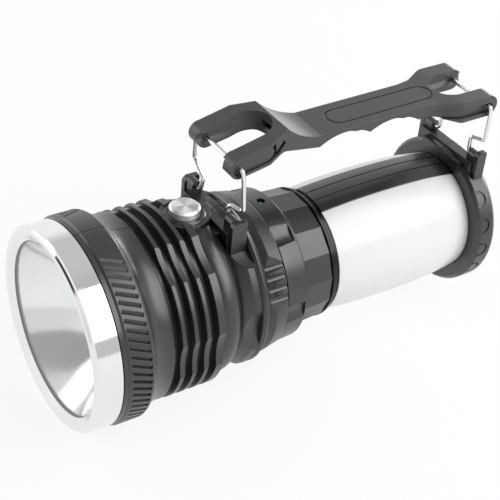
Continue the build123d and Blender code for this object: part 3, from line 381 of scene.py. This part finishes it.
def bowl_coating(name, tint, roughness):
    """Vacuum-coated bowl: smooth, a little milky, with faint flow lines."""
    shader = Shader(name)
    shader.set(colour=tint, metal=1.0, rough=roughness)
    place = shader.coords(scale=(1.0, 3.0, 3.0))
    flow = shader.noise(place, scale=16.0, detail=1.0)
    shader.set(colour=shader.mix_colour(flow, darker(tint, 0.86), tint),
               normal=shader.bump(flow, distance=0.4 * MM, strength=0.25))
    return shader.material


def spun_metal(name, tint, roughness, middle):
    """Metal turned on a lathe: fine rings round an upright axis, and painted highlights in
    sectors, the bands a turned face reflects.
    """
    # Painted highlight: bright sectors of a turned face's reflection, and dark ones between them
    highlight_sectors = 3.0
    sector_turn = 0.9       # radians
    painted_sheen_span = (-0.75, 0.75)
    ring_scale = 9000.0
    shader = Shader(name)
    shader.set(colour=tint, metal=0.6, rough=roughness, anisotropic=0.8)
    place = shader.coords(offset=(-middle.x, -middle.y, -middle.z))
    apart = shader.add("ShaderNodeSeparateXYZ", {0: place})
    x, y = apart.outputs["X"], apart.outputs["Y"]
    flat = shader.add("ShaderNodeCombineXYZ", {"X": x, "Y": y}).outputs[0]
    radius = shader.add("ShaderNodeVectorMath", {0: flat}, operation="LENGTH")
    rings = shader.add("ShaderNodeTexNoise",
                       {"W": radius.outputs["Value"], "Scale": ring_scale, "Detail": 3.0},
                       noise_dimensions="1D").outputs["Fac"]
    tangent = shader.add("ShaderNodeVectorMath", {0: flat, 1: (0.0, 0.0, 1.0)},
                         operation="CROSS_PRODUCT")
    # Painted highlight: three bright and three dark sectors round the button's middle
    turn = maths(shader.tree, "ARCTAN2", y, x)
    phase = maths(shader.tree, "MULTIPLY_ADD", turn, highlight_sectors, sector_turn)
    painted_sheen = shader.ramp(maths(shader.tree, "SINE", phase), painted_sheen_span, 0.0, 1.0)
    # Painted reflection: the dark sectors take 0.6 of the tint
    shader.set(colour=shader.mix_colour(painted_sheen, darker(tint, 0.60), tint),
               rough=shader.vary(rings, roughness * 0.6, roughness * 1.5),
               tangent=tangent.outputs["Vector"],
               normal=shader.bump(rings, distance=0.01 * MM, strength=0.35))
    return shader.material


def drawn_wire(name, tint, roughness):
    """Bright drawn steel wire, a little uneven along its length."""
    shader = Shader(name)
    shader.set(colour=tint, metal=1.0, rough=roughness)
    place = shader.coords()
    cloud = shader.noise(place, scale=160.0, detail=2.0)
    marks = shader.noise(place, scale=1500.0, detail=2.0)
    shader.set(colour=shader.mix_colour(cloud, darker(tint, 0.88), tint),
               rough=shader.vary(cloud, roughness * 0.8, roughness * 1.25),
               normal=shader.bump(marks, distance=0.003 * MM, strength=0.3))
    return shader.material


def clear_glass(name, tint):
    """Clear flat lens, faintly uneven."""
    shader = Shader(name)
    shader.set(colour=tint, rough=0.0, ior=1.49, clear=1.0, specular=0.5)
    waves = shader.noise(shader.coords(), scale=30.0, detail=1.0)
    shader.set(normal=shader.bump(waves, distance=0.02 * MM, strength=0.2))
    return shader.material


def diffuser_plastic(name, tint):
    """Opal plastic of the side lantern: white, smooth, with painted shade where it meets its
    frame.
    """
    shader = Shader(name)
    shader.set(colour=tint, rough=0.30, specular=0.45, coat=0.25, coat_rough=0.12,
               subsurface=0.25, subsurface_scale=4.0 * MM, subsurface_radius=(1.0, 1.0, 1.0))
    place = shader.coords()
    cloud = shader.noise(place, scale=25.0, detail=2.0)
    grain = shader.noise(place, scale=500.0, detail=2.0)
    middle = shader.mix_colour(cloud, darker(tint, 0.97), tint)
    # Painted shade: the colour falls to 0.8 of the tint near the frame and other close parts
    shader.set(colour=shader.mix_colour(shader.shade_mask(reach=12.0 * MM),
                                        darker(tint, 0.80), middle),
               normal=shader.bump(grain, distance=0.005 * MM, strength=0.3))
    return shader.material


def plain_finish(name, tint, roughness, metal=0.0):
    """Finish for the small and inner pieces: colour with a little mottling and grain."""
    shader = Shader(name)
    shader.set(colour=tint, rough=roughness, metal=metal)
    cloud = shader.noise(shader.coords(), scale=400.0, detail=3.0)
    shader.set(colour=shader.mix_colour(cloud, darker(tint, 0.8), tint),
               normal=shader.bump(cloud, distance=0.01 * MM, strength=0.5))
    return shader.material


def dress(material, *names):
    """Give CAD nodes a finish through their material slots."""
    for name in names:
        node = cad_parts[name]
        if not node.material_slots:
            raise RuntimeError(f"{name} has no material slot")
        for place in node.material_slots:
            place.material = material


# Pieces grown with Geometry Nodes

SOCKETS = {"length": "NodeSocketFloat", "count": "NodeSocketInt", "turn": "NodeSocketVector",
           "material": "NodeSocketMaterial"}


class Grower:
    """One Geometry Nodes tree with named inputs, grown into a plain mesh."""

    def __init__(self, name):
        self.name = name
        self.tree = bpy.data.node_groups.new(name, "GeometryNodeTree")
        for side in ("INPUT", "OUTPUT"):
            self.tree.interface.new_socket(name="Geometry", in_out=side,
                                           socket_type="NodeSocketGeometry")
        self.start = self.tree.nodes.new("NodeGroupInput")
        self.end = self.tree.nodes.new("NodeGroupOutput")
        self.values = {}

    def ask(self, name, kind, value):
        """Add a named input, and return its socket inside the tree."""
        socket = self.tree.interface.new_socket(name=name, in_out="INPUT",
                                                socket_type=SOCKETS[kind])
        self.values[socket.identifier] = value
        return self.start.outputs[name]

    def add(self, kind, inputs=(), **values):
        """Add a node, as new_node does, and return its first output."""
        return new_node(self.tree, "GeometryNode" + kind, inputs, **values).outputs[0]

    def join(self, *parts):
        node = new_node(self.tree, "GeometryNodeJoinGeometry")
        for part in parts:
            self.tree.links.new(part, node.inputs[0])
        return node.outputs[0]

    def move(self, geometry, offset):
        return self.add("Transform", {"Geometry": geometry, "Translation": offset})

    def turn(self, geometry, rotation):
        return self.add("Transform", {"Geometry": geometry, "Rotation": rotation})

    def finish(self, geometry):
        """End the tree in real geometry, since the export drops instances."""
        self.tree.links.new(self.add("RealizeInstances", {0: geometry}), self.end.inputs[0])

    def grow(self, piece_name, points, edges, body, slot, *nodes):
        """Run the tree on a path or on points, and let the plain result stand for nodes."""
        seed = bpy.data.meshes.new(piece_name + " seed")
        seed.from_pydata(points, edges, [])
        piece = bpy.data.objects.new(piece_name, seed)
        bpy.context.scene.collection.objects.link(piece)
        modifier = piece.modifiers.new(self.name, "NODES")
        modifier.node_group = self.tree
        for identifier, value in self.values.items():
            modifier[identifier] = value
        bpy.context.view_layer.update()
        graph = bpy.context.evaluated_depsgraph_get()
        mesh = bpy.data.meshes.new_from_object(piece.evaluated_get(graph))
        piece.modifiers.remove(modifier)
        piece.data = mesh
        mesh.name = piece_name
        bpy.data.meshes.remove(seed)
        if not mesh.polygons:
            raise RuntimeError(f"{piece_name} came out empty")
        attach(piece, body)
        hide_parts(*nodes)


def wire_grower(name, radius, bend, material):
    """Round wire along a path of straight runs, with rounded bends."""
    grower = Grower(name)
    wire = grower.ask("Wire radius", "length", radius)
    corner = grower.ask("Bend radius", "length", bend)
    sides = grower.ask("Sides", "count", 20)
    finish = grower.ask("Finish", "material", material)
    path = grower.add("MeshToCurve", {0: grower.start.outputs[0]})
    path = grower.add("FilletCurve", {0: path, "Count": 9, "Radius": corner}, mode="POLY")
    ring = grower.add("CurvePrimitiveCircle", {"Resolution": sides, "Radius": wire})
    tube = grower.add("CurveToMesh", {"Curve": path, "Profile Curve": ring,
                                      "Fill Caps": True})
    smooth = grower.add("SetShadeSmooth", {0: tube})
    grower.finish(grower.add("SetMaterial", {0: smooth, "Material": finish}))
    return grower


def screw_grower(name, shank_length, turn, material):
    """Cross-drive screws, one at each point, heads along +Z before they are turned."""
    grower = Grower(name)
    head = grower.ask("Head radius", "length", HEAD_RADIUS)
    tall = grower.ask("Head height", "length", HEAD_HEIGHT)
    shank = grower.ask("Shank radius", "length", SHANK_RADIUS)
    deep = grower.ask("Shank length", "length", shank_length)
    upright = grower.ask("Turn", "turn", turn)
    finish = grower.ask("Finish", "material", material)
    cap = grower.add("MeshCylinder", {"Vertices": 40, "Radius": head, "Depth": tall})
    cap = grower.move(cap, (0, 0, HEAD_HEIGHT / 2))
    for size in ((CROSS_LENGTH, CROSS_WIDTH, CUTTER_HEIGHT),
                 (CROSS_WIDTH, CROSS_LENGTH, CUTTER_HEIGHT)):
        cutter = grower.move(grower.add("MeshCube", {"Size": size}), (0, 0, CUTTER_MIDDLE))
        cap = grower.add("MeshBoolean", {0: cap, 1: cutter}, operation="DIFFERENCE",
                         solver="EXACT")
    stem = grower.add("MeshCylinder", {"Vertices": 24, "Radius": shank, "Depth": deep})
    stem = grower.move(stem, (0, 0, -shank_length / 2))
    screw = grower.turn(grower.join(cap, stem), upright)
    dots = grower.add("MeshToPoints", {0: grower.start.outputs[0]})
    placed = grower.add("InstanceOnPoints", {"Points": dots, "Instance": screw})
    grower.finish(grower.add("SetMaterial", {0: placed, "Material": finish}))
    return grower


def lamp_grower(name, turn, pitch, package, phosphor):
    """A row of side lamps: a white package with a yellow phosphor window on each."""
    grower = Grower(name)
    count = grower.ask("Lamps", "count", LAMPS_IN_ROW)
    step = grower.ask("Pitch", "length", pitch)
    upright = grower.ask("Turn", "turn", turn)
    shell = grower.ask("Package", "material", package)
    window = grower.ask("Phosphor", "material", phosphor)
    box = grower.add("MeshCube", {"Size": (LAMP_SIDE, LAMP_SIDE, LAMP_HEIGHT)})
    box = grower.add("SetMaterial", {0: box, "Material": shell})
    disc = grower.add("MeshCylinder", {"Vertices": 20, "Radius": WINDOW_RADIUS,
                                       "Depth": WINDOW_HEIGHT})
    disc = grower.move(disc, (0, 0, (LAMP_HEIGHT + WINDOW_HEIGHT) / 2))
    disc = grower.add("SetMaterial", {0: disc, "Material": window})
    offset = new_node(grower.tree, "ShaderNodeCombineXYZ", {0: step}).outputs[0]
    row = grower.add("MeshLine", {"Count": count, "Offset": offset})
    row = grower.add("InstanceOnPoints", {"Points": row, "Instance": grower.join(box, disc)})
    row = grower.turn(grower.move(row, (0, 0, LAMP_OFF_AXIS)), upright)
    dots = grower.add("MeshToPoints", {0: grower.start.outputs[0]})
    grower.finish(grower.add("InstanceOnPoints", {"Points": dots, "Instance": row}))
    return grower


def bail_path(station, height, bends):
    """Corners of one wire, from the free end of its near pivot to that of its far one."""
    near = [(along, -out, up) for (along, up), out in zip(
        bends, (NEAR_PIN_END, ROD_HALF, ROD_HALF))]
    path = [(0.0, -PIN_END, 0.0), (0.0, -NEAR_PIN_END, 0.0), *near,
            (ROD_BEHIND, -ROD_HALF, ROD_ABOVE), (ROD_BEHIND, ROD_HALF, ROD_ABOVE),
            *FAR_BENDS, (0.0, FAR_PIN_END, 0.0), (0.0, PIN_END, 0.0)]
    return [at_station(station + along, out, height + up) for along, out, up in path]


# Operators

class SEARCHLIGHT_OT_optics(bpy.types.Operator):
    """Finish the bezel, lens, gasket, reflector and light source"""
    bl_idname = "searchlight.optics"
    bl_label = "Front optics"

    def execute(self, context):
        metal = context.scene.searchlight_metal
        light = context.scene.searchlight_light
        dress(plated("bezel chrome", metal.chrome_colour, metal.chrome_roughness),
              "bezel_ring")
        dress(clear_glass("front lens", (0.97, 0.985, 0.98)), "front_lens")
        dress(plain_finish("gasket rubber", (0.02, 0.02, 0.02), 0.8), "lens_gasket")
        dress(bowl_coating("reflector coating", light.reflector_colour,
                           light.reflector_roughness), "reflector")
        dress(plain_finish("emitter", (0.85, 0.66, 0.12), 0.3), "led_emitter")
        dress(plain_finish("emitter board", (0.75, 0.76, 0.74), 0.5), "led_board")
        dress(plain_finish("sink metal", (0.62, 0.63, 0.64), 0.4, metal=1.0), "heat_sink")
        return {"FINISHED"}


class SEARCHLIGHT_OT_body(bpy.types.Operator):
    """Finish the housing, collar rings, sleeve, lantern spine and tail cap"""
    bl_idname = "searchlight.body"
    bl_label = "Moulded body"

    def execute(self, context):
        body = context.scene.searchlight_body
        dress(moulded("shell plastic", body.shell_colour, body.shell_roughness,
                      body.grain, body.edge_radius),
              "indicator_ring", "body_sleeve", "end_plate", "lantern_spine")
        dress(moulded("flange plastic", (0.004, 0.004, 0.004), 0.22, body.grain,
                      body.edge_radius, gloss=0.35), "flange_ring")
        dress(moulded("shell halves", body.shell_colour, body.shell_roughness, body.grain,
                      body.edge_radius, seam=body.seam_width),
              "housing_left", "housing_right", "tail_cap_left", "tail_cap_right")
        return {"FINISHED"}


class SEARCHLIGHT_OT_button(bpy.types.Operator):
    """Finish the push button, its ring and its switch"""
    bl_idname = "searchlight.button"
    bl_label = "Push button"

    def execute(self, context):
        metal = context.scene.searchlight_metal
        low, high = node_box("button_cap")
        dress(spun_metal("turned button", metal.button_colour, metal.button_roughness,
                         (low + high) / 2), "button_cap")
        dress(moulded("button ring", (0.012, 0.012, 0.012), 0.22, grain=0.6 * MM,
                      edge=0.4 * MM), "button_ring")
        dress(plain_finish("switch body", (0.04, 0.04, 0.04), 0.5), "button_switch")
        dress(plain_finish("switch board", (0.02, 0.14, 0.06), 0.4), "switch_board")
        return {"FINISHED"}


class SEARCHLIGHT_OT_handle(bpy.types.Operator):
    """Finish the carry handle and bend its two wire bails"""
    bl_idname = "searchlight.handle"
    bl_label = "Handle and bails"

    def execute(self, context):
        body = context.scene.searchlight_body
        metal = context.scene.searchlight_metal
        dress(moulded("handle plastic", body.handle_colour, body.handle_roughness,
                      body.grain, body.edge_radius), "carry_handle")
        steel = drawn_wire("bail wire", metal.wire_colour, metal.wire_roughness)
        dress(steel, "front_bail", "rear_bail")
        for end, (station, height, bends) in BAILS.items():
            path = bail_path(station, height, bends)
            runs = [(i, i + 1) for i in range(len(path) - 1)]
            grower = wire_grower(f"{end} wire", metal.wire_radius, metal.wire_bend, steel)
            grower.grow(f"bent_wire_{end}", path, runs, f"{end}_bail_wire", "steel_wire",
                        f"{end}_bail")
        return {"FINISHED"}


class SEARCHLIGHT_OT_lantern(bpy.types.Operator):
    """Finish the side lantern and the indicator, and set the lantern's lamps"""
    bl_idname = "searchlight.lantern"
    bl_label = "Side lantern"

    def execute(self, context):
        light = context.scene.searchlight_light
        dress(diffuser_plastic("opal diffuser", light.diffuser_colour), "lantern_diffuser")
        dress(plain_finish("indicator lens", light.indicator_colour, 0.15),
              "indicator_led")
        dress(plain_finish("core plastic", (0.75, 0.75, 0.74), 0.5), "lantern_core")
        dress(plain_finish("lamp boards", (0.8, 0.8, 0.78), 0.4), "side_led_boards")
        phosphor = plain_finish("lamp phosphor", (0.85, 0.70, 0.15), 0.35)
        package = plain_finish("lamp package", (0.82, 0.81, 0.76), 0.45)
        dress(phosphor, "side_leds")
        low, high = node_box("side_leds")
        pitch = (high.x - low.x - LAMP_SIDE) / (LAMPS_IN_ROW - 1)
        first = Vector((low.x + LAMP_SIDE / 2, 0.0, AXIS_Z))
        for row in range(1, LAMP_ROWS + 1):
            turn = (math.radians(ROW_TURN * row), 0.0, 0.0)
            grower = lamp_grower(f"lamp row {row}", turn, pitch, package, phosphor)
            grower.grow(f"lamp_row_{row}", [first], [], "root", "led_dome", "side_leds")
        return {"FINISHED"}


class SEARCHLIGHT_OT_inside(bpy.types.Operator):
    """Set the screws, and finish the socket, the cells and the control board"""
    bl_idname = "searchlight.inside"
    bl_label = "Screws and inner pieces"

    def execute(self, context):
        steel = plain_finish("screw steel", (0.30, 0.30, 0.31), 0.35, metal=1.0)
        dress(steel, "housing_screws", "tail_screws")
        spots = [at_station(station, SIDE_SCREW_SEAT, height)
                 for station, height in SIDE_SCREWS]
        grower = screw_grower("side screw", SIDE_SCREW_LENGTH, (-math.pi / 2, 0.0, 0.0), steel)
        grower.grow("side_screws", spots, [], "root", "screw_steel", "housing_screws")
        low, high = node_box("tail_screws")
        out = high.y - HEAD_RADIUS
        spots = [Vector((high.x - HEAD_HEIGHT, y, AXIS_Z + z))
                 for y in (-out, out) for z in (-out, out)]
        grower = screw_grower("end screw", END_SCREW_LENGTH, (0.0, math.pi / 2, 0.0), steel)
        grower.grow("end_screws", spots, [], "root", "screw_steel", "tail_screws")
        dress(plain_finish("socket plastic", (0.02, 0.02, 0.02), 0.3), "charge_inlet")
        dress(plain_finish("cell wrap", (0.06, 0.16, 0.42), 0.25), "battery_cells")
        dress(plain_finish("cell frame", (0.05, 0.05, 0.05), 0.6), "battery_holder")
        dress(plain_finish("control board", (0.02, 0.14, 0.06), 0.4), "control_board")
        return {"FINISHED"}


class SEARCHLIGHT_OT_stage(bpy.types.Operator):
    """Set the camera, the floor, the world and the softboxes"""
    bl_idname = "searchlight.stage"
    bl_label = "Stage"

    def execute(self, context):
        stage = context.scene.searchlight_stage
        set_camera(stage)
        set_floor(stage)
        set_world()
        for name, direction, distance, size, setting in SOFTBOXES:
            area_lamp(name, direction, distance, size, getattr(stage, setting))
        context.scene.view_settings.view_transform = "Standard"
        return {"FINISHED"}


def camera_axes(stage):
    """Right, up and back directions of the camera."""
    a, e, roll = stage.azimuth, stage.elevation, stage.roll
    back = Vector((math.sin(a) * math.cos(e), -math.cos(a) * math.cos(e), math.sin(e)))
    right = Vector((math.cos(a), math.sin(a), 0.0))
    up = back.cross(right)
    return (right * math.cos(roll) + up * math.sin(roll),
            up * math.cos(roll) - right * math.sin(roll), back)


def set_camera(stage):
    right, up, back = camera_axes(stage)
    aim = Vector((FRONT_X + stage.aim_station, 0.0, AXIS_Z))
    data = bpy.data.cameras.new("photo camera")
    camera = bpy.data.objects.new("photo camera", data)
    bpy.context.scene.collection.objects.link(camera)
    turn = Matrix((right, up, back)).transposed().to_4x4()
    camera.matrix_world = Matrix.Translation(aim + back * stage.distance) @ turn
    data.lens = stage.focal
    data.sensor_width = SENSOR_WIDTH
    data.shift_x = stage.shift_x
    data.shift_y = stage.shift_y
    data.clip_start = 0.01
    data.clip_end = 50.0
    bpy.context.scene.camera = camera


def seen_directly(tree):
    """Factor that is 1 for camera, glossy and transmission rays."""
    path = new_node(tree, "ShaderNodeLightPath")
    seen = path.outputs["Is Camera Ray"]
    for name in ("Is Glossy Ray", "Is Transmission Ray"):
        seen = maths(tree, "MAXIMUM", seen, path.outputs[name])
    return seen


def set_floor(stage):
    """Plain pale floor that shows near white and keeps the object's shadow."""
    reach, height = FLOOR_REACH, -FLOOR_UNDER
    mesh = bpy.data.meshes.new("floor")
    mesh.from_pydata([(-reach, -reach, height), (reach, -reach, height),
                      (reach, reach, height), (-reach, reach, height)], [], [(0, 1, 2, 3)])
    floor = bpy.data.objects.new("floor", mesh)
    bpy.context.scene.collection.objects.link(floor)
    shader = Shader("floor")
    shader.set(colour=stage.floor_colour, rough=0.9)
    glow = shader.add("ShaderNodeEmission", {"Color": WHITE})
    glow_share = maths(shader.tree, "MULTIPLY", seen_directly(shader.tree), FLOOR_GLOW)
    surface = shader.add("ShaderNodeMixShader", {0: glow_share, 1: shader.bsdf.outputs[0],
                                                 2: glow.outputs[0]})
    shader.tree.links.new(surface.outputs[0],
                          shader.tree.nodes["Material Output"].inputs["Surface"])
    mesh.materials.append(shader.material)


def set_world():
    """White to the eye; reflections see a bright rear wall and a dim side at the camera."""
    world = bpy.data.worlds.new("studio")
    bpy.context.scene.world = world
    world.use_nodes = True
    tree = world.node_tree
    fill = tree.nodes["Background"]
    feed(tree, fill.inputs["Color"], WHITE)
    feed(tree, fill.inputs["Strength"], WORLD_FILL)
    look = new_node(tree, "ShaderNodeTexCoord")
    apart = new_node(tree, "ShaderNodeSeparateXYZ", {0: look.outputs["Generated"]})
    x, y, z = (apart.outputs[name] for name in "XYZ")

    # What mirrors see: dimmer at the camera's side and overhead, with a dark flag high at -X
    # that shows as the dark streak on the bezel
    wall = ramp(tree, y, (-0.80, 0.25), 0.62, 1.0, "SMOOTHSTEP")
    ceiling = ramp(tree, z, (0.38, 0.62), 1.0, 0.63, "SMOOTHSTEP")
    flag = ramp(tree, x, (-0.66, -0.60), 0.06, 1.0, "SMOOTHSTEP")
    under_flag = ramp(tree, z, (0.40, 0.44), 1.0, 0.0, "SMOOTHSTEP")
    flag = maths(tree, "MAXIMUM", flag, under_flag)
    studio = maths(tree, "MULTIPLY", maths(tree, "MULTIPLY", wall, ceiling), flag)
    mirrored, white = (
        new_node(tree, "ShaderNodeBackground", {"Color": WHITE, "Strength": strength})
        for strength in (studio, 1.0))

    path = new_node(tree, "ShaderNodeLightPath")
    shown = fill.outputs[0]
    for ray, background in (("Is Glossy Ray", mirrored), ("Is Transmission Ray", mirrored),
                            ("Is Camera Ray", white)):
        mixer = new_node(tree, "ShaderNodeMixShader", {0: path.outputs[ray], 1: shown,
                                                       2: background.outputs[0]})
        shown = mixer.outputs[0]
    tree.links.new(shown, tree.nodes["World Output"].inputs["Surface"])


def area_lamp(name, direction, distance, size, watts):
    """Softbox in a direction from the object's middle, facing it."""
    data = bpy.data.lights.new(name, "AREA")
    data.shape = "RECTANGLE"
    data.size, data.size_y = size
    data.energy = watts
    lamp = bpy.data.objects.new(name, data)
    bpy.context.scene.collection.objects.link(lamp)
    lamp.location = STAGE_MIDDLE + Vector(direction).normalized() * distance
    lamp.rotation_mode = "QUATERNION"
    lamp.rotation_quaternion = Vector(direction).to_track_quat("Z", "Y")


class SEARCHLIGHT_PT_panel(bpy.types.Panel):
    bl_idname = "SEARCHLIGHT_PT_panel"
    bl_label = "Searchlight"
    bl_space_type = "VIEW_3D"
    bl_region_type = "UI"
    bl_category = "Searchlight"

    def draw(self, context):
        column = self.layout.column()
        for kind in OPERATORS:
            column.operator(kind.bl_idname)
        for name, kind in SETTINGS.items():
            box = self.layout.box()
            group = getattr(context.scene, name)
            for key in kind.__annotations__:
                box.prop(group, key)


SETTINGS = {
    "searchlight_body": BodySettings,
    "searchlight_metal": MetalSettings,
    "searchlight_light": LightSettings,
    "searchlight_stage": StageSettings,
}
OPERATORS = (
    SEARCHLIGHT_OT_optics,
    SEARCHLIGHT_OT_body,
    SEARCHLIGHT_OT_button,
    SEARCHLIGHT_OT_handle,
    SEARCHLIGHT_OT_lantern,
    SEARCHLIGHT_OT_inside,
    SEARCHLIGHT_OT_stage,
)
CLASSES = (*SETTINGS.values(), *OPERATORS, SEARCHLIGHT_PT_panel)


def register():
    for kind in CLASSES:
        bpy.utils.register_class(kind)
    for name, kind in SETTINGS.items():
        setattr(bpy.types.Scene, name, bpy.props.PointerProperty(type=kind))


def unregister():
    for name in SETTINGS:
        delattr(bpy.types.Scene, name)
    for kind in reversed(CLASSES):
        bpy.utils.unregister_class(kind)


def main():
    register()
    for kind in OPERATORS:
        group, name = kind.bl_idname.split(".")
        getattr(getattr(bpy.ops, group), name)()


if __name__ == "__main__":
    main()
